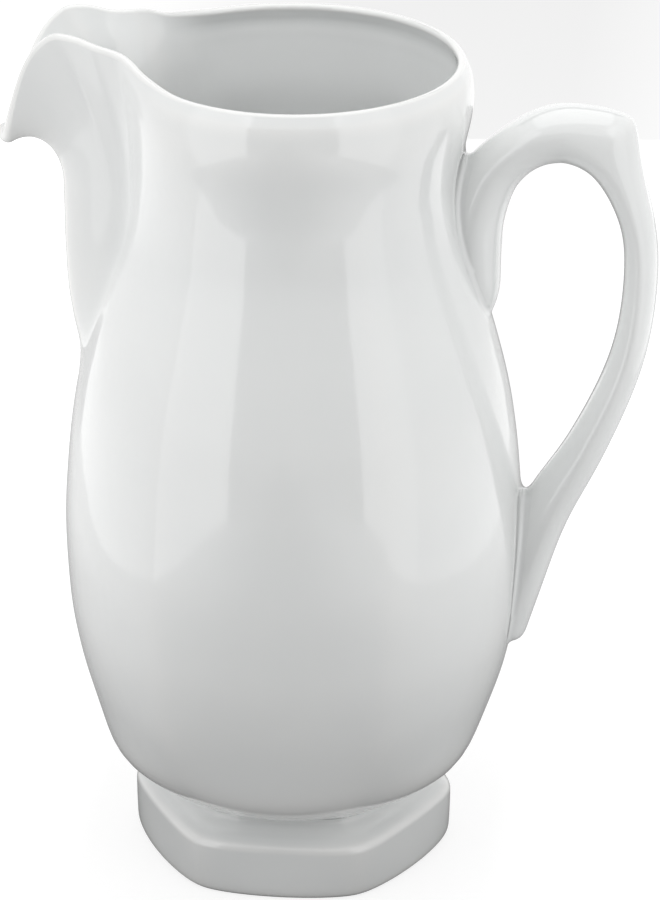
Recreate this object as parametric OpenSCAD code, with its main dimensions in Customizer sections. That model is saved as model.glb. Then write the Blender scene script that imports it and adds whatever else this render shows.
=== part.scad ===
// Glazed ceramic pitcher: a slip-cast body with six soft panels, a luted spout with a drooping
// lip, a luted loop handle with a thumb spur, and a hexagonal foot ring.
// The axis of the body is Z and the pitcher stands on Z = 0. +X points at the handle, -X at the spout.

/* [Body] */
// Height of the rim's top away from the spout
rim_z = 207; // [190:1:225]
// Radius of the belly over the ridges
belly_r = 56.4; // [50:0.2:62]
// Radius of the neck over the ridges
neck_r = 39.7; // [36:0.1:44]
// Radius of the round collar under the rim
collar_r = 42.6; // [40:0.1:46]
// Thickness of the wall
wall = 3.6; // [3:0.1:4.5]
// Thickness of the wall at the rim's edge
rim_thick = 2.2; // [1.8:0.1:3]
// Turn of the surface at a ridge, in degrees
ridge_break = 9; // [4:0.5:14]
// Thickness of the floor
floor_rise = 3.8; // [3:0.1:6]

/* [Spout] */
// Reach of the outer edge at the spout's tip from the axis
tip_reach = 67; // [62:0.2:72]
// Height of the outer edge at the spout's tip
tip_z = 183; // [178:0.2:190]
// Height of the outer edge at the crests beside the spout
crest_z = 212.6; // [208:0.2:220]
// Thickness of the spout's tip
tip_thick = 5; // [3:0.1:6]
// Radius at the keel of the spout's lower channel
keel_r = 55.2; // [52:0.2:58]
// Height at which the keel leaves the belly
keel_foot_z = 124; // [115:1:132]
// Half angle that the spout piece takes out of the body
spout_half_angle = 22; // [18:2:24]

/* [Handle] */
// Half width of the handle at the arch
handle_half_w = 7.5; // [6:0.1:9]
// Height of the thumb spur above the arch
spur_rise = 5.1; // [0:0.1:7]
// Depth to which the handle's ends are pressed into the wall
root_depth = 0.8; // [0.4:0.1:1.5]

/* [Foot] */
// Height of the foot ring
foot_z = 19; // [16:0.5:22]
// Radius of the foot over its corners
foot_r = 39.7; // [37:0.1:42]
// Radius of the waist between the foot and the body
waist_r = 33.2; // [31:0.1:34]
// Thickness of the luting slip
slip = 0.5; // [0.3:0.1:0.8]

/* [Hidden] */

glaze = [0.95, 0.95, 0.95];

sides = 6;
panel = 360 / sides;
spout_angle = 180;

// ---- Curves: a curve is a list of [place, value, value...] knots

function clamp(x, low, high) = min(max(x, low), high);
function smooth(low, high, x) = let (t = clamp((x - low) / (high - low), 0, 1)) t * t * (3 - 2 * t);
function chord(k, i, c) = (k[i + 1][c] - k[i][c]) / (k[i + 1][0] - k[i][0]);
function gap(k, i) = k[i + 1][0] - k[i][0];
function stretch_of(k, x, i = 0) = (i >= len(k) - 2 || x < k[i + 1][0]) ? i : stretch_of(k, x, i + 1);

// Slope at a knot that never overshoots between knots
function held_slope(k, i, c) =
    i == 0 ? chord(k, 0, c) :
    i == len(k) - 1 ? chord(k, i - 1, c) :
    let (a = chord(k, i - 1, c), b = chord(k, i, c))
    a * b <= 0 ? 0 :
    let (g = gap(k, i - 1), h = gap(k, i))
    3 * (g + h) / ((2 * h + g) / a + (h + 2 * g) / b);

// Slope at a knot of a freely bending line
function free_slope(k, i, c) =
    i == 0 ? 2 * chord(k, 0, c) - free_slope(k, 1, c) :
    i == len(k) - 1 ? 2 * chord(k, i - 1, c) - free_slope(k, i - 1, c) :
    let (g = gap(k, i - 1), h = gap(k, i))
    (chord(k, i - 1, c) * h + chord(k, i, c) * g) / (g + h);

function hermite(a, b, m, n, t) =
    a * (1 + 2 * t) * (1 - t) * (1 - t) + m * t * (1 - t) * (1 - t)
    + b * t * t * (3 - 2 * t) + n * t * t * (t - 1);

function curve(k, x) =
    let (u = clamp(x, k[0][0], k[len(k) - 1][0]), i = stretch_of(k, u), h = gap(k, i))
    hermite(k[i][1], k[i + 1][1], held_slope(k, i, 1) * h, held_slope(k, i + 1, 1) * h, (u - k[i][0]) / h);

function bend(k, x, c) =
    let (i = stretch_of(k, x), h = gap(k, i))
    hermite(k[i][c], k[i + 1][c], free_slope(k, i, c) * h, free_slope(k, i + 1, c) * h, (x - k[i][0]) / h);

// ---- Body: radius over the ridges against height, then the panels between them

edge_z = rim_z - rim_thick / 2;
// Thickness against height: fullest behind the collar, thin at the edge
wall_profile = [[edge_z - 26, wall], [edge_z - 10, wall + 0.7], [edge_z, rim_thick]];
body_profile = [
    [foot_z, waist_r],
    [foot_z + 1.5, waist_r + 1.8],
    [foot_z + 4.5, waist_r + 6.6],
    [foot_z + 10, belly_r - 11.6],
    [foot_z + 19, belly_r - 7.6],
    [foot_z + 33, belly_r - 3.2],
    [foot_z + 49, belly_r - 0.7],
    [foot_z + 67, belly_r],
    [rim_z - 103, belly_r - 1.1],
    [rim_z - 86, belly_r - 3.3],
    [rim_z - 69, neck_r + 9.3],
    [rim_z - 53, neck_r + 4.3],
    [rim_z - 41, neck_r + 0.9],
    [rim_z - 31, neck_r],
    [rim_z - 22.5, neck_r + 0.6],
    [rim_z - 9.5, collar_r],
    [rim_z - 4.7, collar_r - 0.5],
    [edge_z, collar_r - 2.2],
];

// Turn of the surface at the ridges: below zero the ridge has become a groove between two lobes
body_break = [
    [foot_z, 24],
    [foot_z + 3.5, 0],
    [foot_z + 8, -12],
    [foot_z + 17, 0],
    [foot_z + 29, ridge_break],
    [rim_z - 49, ridge_break - 1],
    [rim_z - 33, ridge_break - 1],
    [rim_z - 19, 0],
    [edge_z, 0],
];
// Half width over which a ridge is rounded off, in degrees
ridge_soft = 3;
foot_soft = 6;

// Share of the ridge radius at an angle, where each panel is an arc between two ridges
function panel_share(angle, turn, soft) =
    let (
        off = abs(angle - panel * round(angle / panel)),
        half = panel / 2,
        rounded = (sqrt(off * off + soft * soft) - soft) * half / (sqrt(half * half + soft * soft) - soft),
        span = half - turn / 2,
        arc_r = sin(half) / sin(span),
        centre = cos(half) - arc_r * cos(span),
        a = half - rounded
    )
    centre * cos(a) + sqrt(arc_r * arc_r - pow(centre * sin(a), 2));

function body_r(angle, z) = curve(body_profile, z) * panel_share(angle, curve(body_break, z), ridge_soft);

// ---- Spout: a narrow keel on the neck that opens into the lip

keel_rise = [
    [keel_foot_z, 0],
    [keel_foot_z + 6, 0.2],
    [keel_foot_z + 14, 0.72],
    [keel_foot_z + 24, 0.95],
    [keel_foot_z + 38, 1],
    [keel_foot_z + 58, 1],
];
channel_half_w = [
    [keel_foot_z, 5],
    [keel_foot_z + 22, 6.5],
    [keel_foot_z + 48, 7.8],
    [keel_foot_z + 63, 9.5],
];
channel_sharpness = 1.1;
channel_power = 2.4;
lip_start_z = rim_z - 34;
// The lip takes over from the plain collar between these angles from the middle of the spout
lip_full = 22;
lip_gone = 60;
// Outer edge of the rim against the angle from the middle of the spout, and the lean of the wall there
rim_r = collar_r - 2.2;
rim_reach = [
    [-2, tip_reach + 0.1],
    [0, tip_reach],
    [2, tip_reach + 0.1],
    [4, tip_reach],
    [6, tip_reach - 1.2],
    [8, tip_reach - 3.8],
    [10, tip_reach - 7.2],
    [12, tip_reach - 11.2],
    [14, rim_r + 12],
    [17.5, rim_r + 6.8],
    [24.5, rim_r + 2.4],
    [34, rim_r + 0.6],
    [44, rim_r],
    [55, rim_r],
];
rim_rise = [
    [-2, tip_z + 0.5],
    [0, tip_z],
    [2, tip_z + 0.5],
    [4, tip_z + 3.2],
    [6, tip_z + 10.1],
    [8, tip_z + 20],
    [10, crest_z - 3.2],
    [12, crest_z],
    [14, crest_z - 0.2],
    [17.5, crest_z - 1.8],
    [24.5, edge_z + 4.2],
    [34, edge_z + 2],
    [44, edge_z + 1],
    [55, edge_z + 0.3],
    [80, edge_z],
];
rim_lean = [[-4, -15], [0, -38], [4, -15], [6, 22], [8, 45], [11, 60], [17.5, 70], [25, 80], [40, 92], [60, 100]];

function off_spout(angle) = abs(angle - spout_angle - 360 * round((angle - spout_angle) / 360));

function channel_r(off, z) =
    let (
        wall_r = body_r(spout_angle, z),
        stand = max(keel_r - wall_r, 0) * curve(keel_rise, z),
        side = wall_r * sin(min(off, 60)) / curve(channel_half_w, z)
    )
    stand * exp(-channel_sharpness * pow(side, channel_power));

function lip_point(angle, off, z) =
    let (
        t = clamp((z - lip_start_z) / (edge_z - lip_start_z), 0, 1),
        low = [body_r(angle, lip_start_z) + channel_r(off, lip_start_z), lip_start_z],
        high = [curve(rim_reach, off), curve(rim_rise, off)],
        lean = curve(rim_lean, off),
        far = norm(high - low),
        droop = exp(-pow(off / 6, 2)),
        low_pull = low + [0, (0.3 + 0.25 * droop) * far],
        high_pull = high - (0.4 + 0.1 * droop) * far * [cos(lean), sin(lean)]
    )
    pow(1 - t, 3) * low + 3 * pow(1 - t, 2) * t * low_pull + 3 * (1 - t) * t * t * high_pull + t * t * t * high;

// Radius and height of the outer surface at an angle and a level between the waist and the rim
function outer_rz(angle, z) =
    let (off = off_spout(angle))
    z <= lip_start_z
        ? [body_r(angle, z) + channel_r(off, z), z]
        : let (
            t = (z - lip_start_z) / (edge_z - lip_start_z),
            plain = [body_r(angle, z) + channel_r(off, lip_start_z), z + (curve(rim_rise, off) - edge_z) * t],
            share = 1 - smooth(lip_full, lip_gone, off)
        )
        share * lip_point(angle, off, z) + (1 - share) * plain;

function around(rz, angle) = [rz[0] * cos(angle), rz[0] * sin(angle), rz[1]];

// ---- The shell's grid: columns of angles round the axis, rows of levels up the wall

slip_angle = 0.8;
fine_step = 2;
coarse_step = 5;
first_coarse = 25;
edge_angle = spout_half_angle + slip_angle;
columns = concat(
    [for (a = [-spout_half_angle : fine_step : spout_half_angle]) spout_angle + a],
    [spout_angle + edge_angle],
    [for (a = [first_coarse : coarse_step : 360 - first_coarse]) spout_angle + a],
    [spout_angle + 360 - edge_angle]
);
column_count = len(columns);
spout_columns = 2 * spout_half_angle / fine_step;

window_z = 120;
rows = concat(
    [for (d = [0, 1.2, 2.6, 4.4, 6.6, 9.4, 13, 18, 24, 31]) foot_z + d],
    [for (z = [60 : 10 : 110]) z],
    [window_z - slip, window_z],
    [for (z = [keel_foot_z : 6 : lip_start_z - 4]) z],
    [for (i = [0 : 10]) lip_start_z + (edge_z - lip_start_z) * i / 10]
);
row_count = len(rows);
window_row = len([for (z = rows) if (z < window_z) z]);

outer_grid = [for (z = rows) [for (a = columns) around(outer_rz(a, z), a)]];

function unit(v) = v / norm(v);
function next_column(i) = (i + 1) % column_count;
function last_column(i) = (i + column_count - 1) % column_count;
function along_rows(j, i) = outer_grid[min(j + 1, row_count - 1)][i] - outer_grid[max(j - 1, 0)][i];
function grid_normal(j, i) =
    unit(cross(outer_grid[j][next_column(i)] - outer_grid[j][last_column(i)], along_rows(j, i)));

// The wall thickens at the spout's tip
function wall_at(j, i) =
    let (off = off_spout(columns[i]), plain = curve(wall_profile, rows[j]))
    plain + (tip_thick - plain) * exp(-pow(off / 5, 2)) * smooth(edge_z - 8, edge_z, rows[j]);

inner_grid = [for (j = [0 : row_count - 1]) [for (i = [0 : column_count - 1])
    outer_grid[j][i] - wall_at(j, i) * grid_normal(j, i)]];

// Rounding of the rim, from the outer edge over to the inner edge
rim_steps = 6;
rim_grid = [for (k = [1 : rim_steps - 1]) [for (i = [0 : column_count - 1])
    let (
        j = row_count - 1,
        up = unit(along_rows(j, i)),
        mid = (outer_grid[j][i] + inner_grid[j][i]) / 2,
        turn = 180 * k / rim_steps,
        half = wall_at(j, i) / 2
    )
    mid + half * (cos(turn) * grid_normal(j, i) + sin(turn) * up)]];

function flat(lists) = [for (l = lists) each l];
shell_points = flat(concat(outer_grid, rim_grid, inner_grid, [[[0, 0, foot_z], [0, 0, foot_z + floor_rise]]]));
inner_start = row_count + rim_steps - 1;
under_centre = len(shell_points) - 2;
floor_centre = len(shell_points) - 1;

function at(j, i) = j * column_count + i % column_count;
function quad(a, b, c, d) = [[a, b, c], [a, c, d]];
function outer_at(j, i) = at(j, i);
function inner_at(j, i) = at(inner_start + j, i);
function rim_at(k, i) = k == 0 ? outer_at(row_count - 1, i)
    : k == rim_steps ? inner_at(row_count - 1, i) : at(row_count + k - 1, i);

// Faces of the patch between columns first and last and up from row low, closed on all sides.
// A patch that goes all the way round but for a window has its lower rows closed in a ring.
function skin_faces(low, high, first, last) =
    flat([for (j = [low : high - 1]) for (i = [first : last - 1]) concat(
        quad(outer_at(j, i), outer_at(j + 1, i), outer_at(j + 1, i + 1), outer_at(j, i + 1)),
        quad(inner_at(j, i), inner_at(j, i + 1), inner_at(j + 1, i + 1), inner_at(j + 1, i)))]);
function rim_faces(first, last) =
    flat([for (k = [0 : rim_steps - 1]) for (i = [first : last - 1])
        quad(rim_at(k, i), rim_at(k + 1, i), rim_at(k + 1, i + 1), rim_at(k, i + 1))]);
function side_faces(low, high, i, with_rim, flip) =
    let (
        wall_faces = flat([for (j = [low : high - 1])
            quad(outer_at(j, i), inner_at(j, i), inner_at(j + 1, i), outer_at(j + 1, i))]),
        cap = with_rim ? [for (k = [1 : rim_steps - 1]) [rim_at(0, i), rim_at(k + 1, i), rim_at(k, i)]] : []
    )
    [for (f = concat(wall_faces, cap)) flip ? [f[2], f[1], f[0]] : f];
function level_faces(j, first, last, flip) =
    flat([for (i = [first : last - 1])
        let (q = quad(outer_at(j, i), outer_at(j, i + 1), inner_at(j, i + 1), inner_at(j, i)))
        [for (f = q) flip ? [f[2], f[1], f[0]] : f]]);

spout_first = 0;
spout_last = spout_columns;
slip_last = spout_columns + 1;
body_first = slip_last;
body_last = column_count - 1;

module body() {
    faces = concat(
        skin_faces(0, window_row - 1, 0, column_count),
        skin_faces(window_row - 1, row_count - 1, body_first, body_last),
        rim_faces(body_first, body_last),
        side_faces(window_row - 1, row_count - 1, body_first, true, false),
        side_faces(window_row - 1, row_count - 1, body_last, true, true),
        level_faces(window_row - 1, body_last, column_count + slip_last, true),
        [for (i = [0 : column_count - 1]) [outer_at(0, i), outer_at(0, i + 1), under_centre]],
        [for (i = [0 : column_count - 1]) [inner_at(0, i), floor_centre, inner_at(0, i + 1)]]
    );
    color(glaze) polyhedron(shell_points, faces);
}

module spout() {
    faces = concat(
        skin_faces(window_row, row_count - 1, spout_first, spout_last),
        rim_faces(spout_first, spout_last),
        side_faces(window_row, row_count - 1, spout_first, true, false),
        side_faces(window_row, row_count - 1, spout_last, true, true),
        level_faces(window_row, spout_first, spout_last, false)
    );
    color(glaze) polyhedron(shell_points, faces);
}

// The layer of slip that lutes the spout into the body, along its two sides and its foot
module spout_slip() {
    low = window_row - 1;
    faces = concat(
        skin_faces(low, low + 1, body_last, column_count + slip_last),
        skin_faces(window_row, row_count - 1, spout_last, slip_last),
        skin_faces(window_row, row_count - 1, body_last, column_count),
        rim_faces(spout_last, slip_last),
        rim_faces(body_last, column_count),
        side_faces(window_row, row_count - 1, spout_last, true, false),
        side_faces(low, row_count - 1, slip_last, true, true),
        side_faces(low, row_count - 1, body_last, true, false),
        side_faces(window_row, row_count - 1, column_count, true, true),
        level_faces(low, body_last, column_count + slip_last, false),
        level_faces(window_row, spout_first, spout_last, true)
    );
    color(glaze) polyhedron(shell_points, faces);
}

// ---- Foot: a hexagonal ring that flares from the waist, and the slip that lutes it on

foot_profile = [
    [0, foot_r - 1],
    [0.8, foot_r - 0.2],
    [3, foot_r + 0.1],
    [foot_z - 6.5, foot_r + 0.3],
    [foot_z - 5, foot_r - 0.5],
    [foot_z - 3.8, foot_r - 2.8],
    [foot_z - 2.4, waist_r + 2],
    [foot_z - 1, waist_r + 0.4],
    [foot_z, waist_r],
];
foot_break = [[0, 22], [foot_z - 5, 34], [foot_z, 24]];
foot_rows = [0, 0.4, 0.9, 3, 8, foot_z - 6.5, foot_z - 5.6, foot_z - 4.8, foot_z - 3.9, foot_z - 2.8,
             foot_z - 1.7, foot_z - slip];
foot_columns = 72;
recess_base_r = 33.5;
recess_top_r = 27;
recess_columns = 96;
overrun = 1;

function foot_outer(a, z) = around([curve(foot_profile, z) * panel_share(a, curve(foot_break, z), foot_soft), z], a);
function recess_r(z) = recess_base_r + (recess_top_r - recess_base_r) * z / foot_z;

// A solid slice of the foot through the levels given
module foot_slice(levels) {
    n = foot_columns;
    m = len(levels);
    points = flat([for (z = levels) [for (i = [0 : n - 1]) foot_outer(i * 360 / n, z)]]);
    sides = flat([for (j = [0 : m - 2]) for (i = [0 : n - 1])
        quad(j * n + i, (j + 1) * n + i, (j + 1) * n + (i + 1) % n, j * n + (i + 1) % n)]);
    base = [[for (i = [0 : n - 1]) i]];
    top = [[for (i = [n - 1 : -1 : 0]) (m - 1) * n + i]];
    polyhedron(points, concat(sides, base, top));
}

// The hollow under the foot, a cone that runs on past both ends
module recess() {
    translate([0, 0, -overrun])
        cylinder(h = foot_z + 2 * overrun, r1 = recess_r(-overrun), r2 = recess_r(foot_z + overrun),
                 $fn = recess_columns);
}

module foot_ring() {
    color(glaze) difference() {
        foot_slice(foot_rows);
        recess();
    }
}

module foot_slip() {
    color(glaze) difference() {
        foot_slice([foot_z - slip, foot_z]);
        recess();
    }
}

// ---- Handle: a loop whose two ends lie along the wall

// Knots of the middle line: place, x, z, half thickness towards the hole and away from it, half width
handle_line = [
    [0.00, 41.5, 143.5, 5.7, 4, handle_half_w - 2.6],
    [0.03, 42.0, 149, 7.3, 5, handle_half_w - 1.9],
    [0.08, 42.6, 158, 7.0, 6, handle_half_w - 1.3],
    [0.17, 43.6, 171, 7.1, 7.6, handle_half_w - 0.8],
    [0.22, 46.6, 179.2, 6.8, 6.5, handle_half_w - 0.5],
    [0.27, 51.2, 185.2, 6.9, 5.3, handle_half_w - 0.2],
    [0.37, 63.2, 190.6, 7.6, 5.8, handle_half_w],
    [0.46, 74, 184.5, 5.6, 5.8, handle_half_w - 0.2],
    [0.55, 80.7, 171, 4, 4.5, handle_half_w - 0.5],
    [0.65, 82.8, 154.5, 3.8, 4.3, handle_half_w - 0.7],
    [0.75, 80.2, 133, 4.1, 4.3, handle_half_w - 0.7],
    [0.85, 71.2, 109.5, 5.0, 4.9, handle_half_w - 0.7],
    [0.93, 62.3, 89.8, 7.5, 4.8, handle_half_w - 0.5],
    [1.00, 56.2, 70.5, 7, 5, handle_half_w - 0.3],
    [1.07, 52, 57.5, 6, 5.4, handle_half_w - 0.9],
];
handle_end = 1.07;
// The outer side rounds off to a blunt end past this place, and would close at the next
blunt_place = 1.042;
blunt_end = 1.0735;
// Place of the thumb spur, how far it spreads before and after that, and how peaked it is
spur_place = 0.445;
spur_before = 0.048;
spur_after = 0.033;
spur_power = 1.4;
// How flat the handle's section is across its thickness and across its width: 1 is an ellipse
thick_power = 1.1;
width_power = 0.95;
// Share by which the depth of a root changes from its wall side to its free side
root_tilt = 0.5;
handle_sides = 24;
// Places of the handle's rings: even along the loop, closer together at its two ends
handle_places = concat(
    [0, 0.006, 0.012],
    [for (i = [1 : 50]) 0.0205 * i],
    [1.037, 1.046, 1.054, 1.06, 1.065, handle_end]
);

function line_at(s) = [bend(handle_line, s, 1), 0, bend(handle_line, s, 2)];
function line_way(s) = unit(line_at(min(s + 0.002, handle_end)) - line_at(max(s - 0.002, 0)));
function power(x, p) = sign(x) * pow(abs(x), p);

// Point of the handle's surface before its ends are fitted to the wall
function raw_handle(s, turn) =
    let (
        way = line_way(s),
        out = [-way.z, 0, way.x],
        spread = s < spur_place ? spur_before : spur_after,
        spur = spur_rise * exp(-pow(abs((s - spur_place) / spread), spur_power)),
        blunt = sqrt(1 - pow(max(s - blunt_place, 0) / (blunt_end - blunt_place), 3)),
        thick = cos(turn) > 0 ? blunt * bend(handle_line, s, 4) + spur : bend(handle_line, s, 3),
        half_w = blunt * bend(handle_line, s, 5)
    )
    line_at(s) + out * thick * power(cos(turn), thick_power) + [0, half_w * power(sin(turn), width_power), 0];

function angle_of(p) = atan2(p.y, p.x);
function height_over_wall(p) = norm([p.x, p.y]) - body_r(angle_of(p), p.z);
function on_wall(p, depth) = around([body_r(angle_of(p), p.z) - depth, p.z], angle_of(p));
// The side that faces the wall is pressed in deeper than the side that faces away
function handle_point(s, turn) =
    let (
        p = raw_handle(s, turn),
        depth = root_depth * (1 + root_tilt * (s < spur_place ? cos(turn) : -cos(turn)))
    )
    height_over_wall(p) < -depth ? on_wall(p, depth) : p;

// A tube through rings of points, closed at both ends on the middle of its end rings
function middle(ring_points) = [for (c = [0 : 2]) sum_of([for (p = ring_points) p[c]]) / len(ring_points)];
function sum_of(v, i = 0) = i >= len(v) ? 0 : v[i] + sum_of(v, i + 1);
module tube(rings) {
    n = len(rings[0]);
    m = len(rings);
    points = concat(flat(rings), [middle(rings[0]), middle(rings[m - 1])]);
    faces = concat(
        flat([for (j = [0 : m - 2]) for (i = [0 : n - 1])
            quad(j * n + i, j * n + (i + 1) % n, (j + 1) * n + (i + 1) % n, (j + 1) * n + i)]),
        [for (i = [0 : n - 1]) [(i + 1) % n, i, m * n]],
        [for (i = [0 : n - 1]) [(m - 1) * n + i, (m - 1) * n + (i + 1) % n, m * n + 1]]);
    polyhedron(points, faces);
}

module handle() {
    color(glaze) tube([for (s = handle_places) [for (i = [0 : handle_sides - 1])
        handle_point(s, 360 * i / handle_sides)]]);
}

// ---- Slip fillets: soft beads that fill the corner between the handle and the wall

// Radius of the bead, and the least and the most reach of its two toes from the corner
fillet_r = 1.7;
fillet_least = 1.3;
fillet_most = 6;
// Depth of the bead's back in the corner and of its toes in the handle and the wall
fillet_sink = 0.8;
toe_sink = 0.1;
// Share of the reach by which the bead's middle is drawn out of the corner
bead_pull = 0.15;
fillet_rings = 36;
fillet_steps = 4;

// Place at which the lengthwise line at a turn leaves the wall
function leaving(turn, inside, outside, left = 18) =
    left == 0 ? (inside + outside) / 2 :
    let (mid = (inside + outside) / 2)
    height_over_wall(raw_handle(mid, turn)) < 0
        ? leaving(turn, mid, outside, left - 1) : leaving(turn, inside, mid, left - 1);

// Turn at which the section at a place leaves the wall
function parting(s, inside, outside, left = 18) =
    left == 0 ? (inside + outside) / 2 :
    let (mid = (inside + outside) / 2)
    height_over_wall(raw_handle(s, mid)) < 0
        ? parting(s, mid, outside, left - 1) : parting(s, inside, mid, left - 1);

// The corner's line as [place, turn] pairs, closest together round its two ends.
// The handle faces the wall at the turn given.
function corner_line(inside, outside, wall_turn) =
    let (
        open_turn = 180 - wall_turn,
        crotch = leaving(wall_turn, inside, outside),
        tail = leaving(open_turn, inside, outside)
    )
    [for (i = [0 : fillet_rings - 1])
        let (
            a = 360 * i / fillet_rings,
            s = (crotch + tail) / 2 + (crotch - tail) / 2 * cos(a),
            turn = i == 0 ? wall_turn : 2 * i == fillet_rings ? open_turn : parting(s, wall_turn, open_turn)
        )
        [s, a > 180 ? -turn : turn]];

function wall_normal(p) =
    let (a = angle_of(p))
    unit(cross(around([body_r(a + 0.5, p.z), p.z], a + 0.5) - around([body_r(a - 0.5, p.z), p.z], a - 0.5),
               around([body_r(a, p.z + 0.5), p.z + 0.5], a) - around([body_r(a, p.z - 0.5), p.z - 0.5], a)));

// Cross-section of the fillet at one point of the corner's line, from the wall over to the handle
function fillet_section(place, turn) =
    let (
        corner = raw_handle(place, turn),
        by_place = (raw_handle(place + 0.001, turn) - raw_handle(place - 0.001, turn)) / 0.002,
        by_turn = (raw_handle(place, turn + 1) - raw_handle(place, turn - 1)) / 2,
        skin = unit(cross(by_place, by_turn)),
        out = wall_normal(corner),
        up = unit(out - skin * (out * skin)),
        away = unit(skin - out * (skin * out)),
        open = unit(up + away),
        leg = clamp(fillet_r * (up * open) / norm(up - open * (up * open)), fillet_least, fillet_most),
        e = by_place * by_place,
        f = by_place * by_turn,
        g = by_turn * by_turn,
        reach = leg / (e * g - f * f),
        on_handle = raw_handle(place + reach * (up * by_place * g - up * by_turn * f),
                               turn + reach * (up * by_turn * e - up * by_place * f)) - toe_sink * skin,
        on_body = on_wall(corner + leg * away, toe_sink),
        pull = corner + bead_pull * leg * open
    )
    concat(
        [for (k = [0 : fillet_steps])
            let (t = k / fillet_steps)
            (1 - t) * (1 - t) * on_body + 2 * t * (1 - t) * pull + t * t * on_handle],
        [corner - fillet_sink * open]);

module fillet(inside, outside, wall_turn) {
    rings = [for (p = corner_line(inside, outside, wall_turn)) fillet_section(p[0], p[1])];
    n = fillet_steps + 2;
    m = fillet_rings;
    faces = flat([for (j = [0 : m - 1]) for (i = [0 : n - 1])
        quad(j * n + i, ((j + 1) % m) * n + i, ((j + 1) % m) * n + (i + 1) % n, j * n + (i + 1) % n)]);
    polyhedron(flat(rings), faces);
}

module upper_handle_slip() {
    color(glaze) fillet(0, 0.3, 0);
}

module lower_handle_slip() {
    color(glaze) fillet(handle_end, 0.8, 180);
}

body();
spout();
spout_slip();
foot_ring();
foot_slip();
handle();
upper_handle_slip();
lower_handle_slip();
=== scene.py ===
import math

import bpy
import numpy as np
from mathutils import Matrix, Vector


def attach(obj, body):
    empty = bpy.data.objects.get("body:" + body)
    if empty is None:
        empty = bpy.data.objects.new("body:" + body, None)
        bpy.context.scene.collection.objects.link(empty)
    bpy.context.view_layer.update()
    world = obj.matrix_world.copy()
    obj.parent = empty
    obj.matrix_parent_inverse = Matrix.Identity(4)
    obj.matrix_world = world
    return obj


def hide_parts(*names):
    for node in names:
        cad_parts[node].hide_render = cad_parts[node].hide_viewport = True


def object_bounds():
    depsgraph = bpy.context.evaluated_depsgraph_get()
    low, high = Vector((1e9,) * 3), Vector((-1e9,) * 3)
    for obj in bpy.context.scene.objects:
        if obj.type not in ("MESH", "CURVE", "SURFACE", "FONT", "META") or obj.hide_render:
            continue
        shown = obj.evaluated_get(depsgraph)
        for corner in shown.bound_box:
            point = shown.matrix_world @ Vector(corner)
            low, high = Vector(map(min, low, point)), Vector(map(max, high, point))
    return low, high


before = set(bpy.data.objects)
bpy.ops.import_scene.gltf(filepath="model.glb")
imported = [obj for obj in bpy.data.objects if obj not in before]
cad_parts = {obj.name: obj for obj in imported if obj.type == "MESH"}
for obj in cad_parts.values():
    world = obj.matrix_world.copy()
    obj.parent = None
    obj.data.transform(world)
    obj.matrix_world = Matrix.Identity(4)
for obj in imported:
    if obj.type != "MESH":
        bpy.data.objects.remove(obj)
cad_low, cad_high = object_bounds()
CAD_BOX = (np.array(cad_low), np.array(cad_high))
MM = 0.001

# ---- The pitcher's measures, in millimetres and degrees, as in the CAD model

RIM_Z = 207.0
BELLY_R = 56.4
NECK_R = 39.7
COLLAR_R = 42.6
WALL = 3.6
RIM_THICK = 2.2
RIDGE_BREAK = 9.0
FLOOR_RISE = 3.8
TIP_REACH = 67.0
TIP_Z = 183.0
CREST_Z = 212.6
TIP_THICK = 5.0
KEEL_R = 55.2
KEEL_FOOT_Z = 124.0
SPOUT_HALF = 22.0
HANDLE_HALF_W = 7.5
SPUR_RISE = 5.1
ROOT_DEPTH = 0.8
FOOT_Z = 19.0
FOOT_R = 39.7
WAIST_R = 33.2
SLIP = 0.5
PANEL = 60.0
SPOUT_ANGLE = 180.0
EDGE_Z = RIM_Z - RIM_THICK / 2
LIP_Z = RIM_Z - 34
RIM_R = COLLAR_R - 2.2

BODY_PROFILE = [
    (FOOT_Z, WAIST_R), (FOOT_Z + 1.5, WAIST_R + 1.8), (FOOT_Z + 4.5, WAIST_R + 6.6),
    (FOOT_Z + 10, BELLY_R - 11.6), (FOOT_Z + 19, BELLY_R - 7.6), (FOOT_Z + 33, BELLY_R - 3.2),
    (FOOT_Z + 49, BELLY_R - 0.7), (FOOT_Z + 67, BELLY_R), (RIM_Z - 103, BELLY_R - 1.1),
    (RIM_Z - 86, BELLY_R - 3.3), (RIM_Z - 69, NECK_R + 9.3), (RIM_Z - 53, NECK_R + 4.3),
    (RIM_Z - 41, NECK_R + 0.9), (RIM_Z - 31, NECK_R), (RIM_Z - 22.5, NECK_R + 0.6),
    (RIM_Z - 9.5, COLLAR_R), (RIM_Z - 4.7, COLLAR_R - 0.5), (EDGE_Z, COLLAR_R - 2.2),
]
BODY_BREAK = [
    (FOOT_Z, 24), (FOOT_Z + 3.5, 0), (FOOT_Z + 8, -12), (FOOT_Z + 17, 0),
    (FOOT_Z + 29, RIDGE_BREAK), (RIM_Z - 49, RIDGE_BREAK - 1), (RIM_Z - 33, RIDGE_BREAK - 1),
    (RIM_Z - 19, 0), (EDGE_Z, 0),
]
WALL_PROFILE = [(EDGE_Z - 26, WALL), (EDGE_Z - 10, WALL + 0.7), (EDGE_Z, RIM_THICK)]
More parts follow.
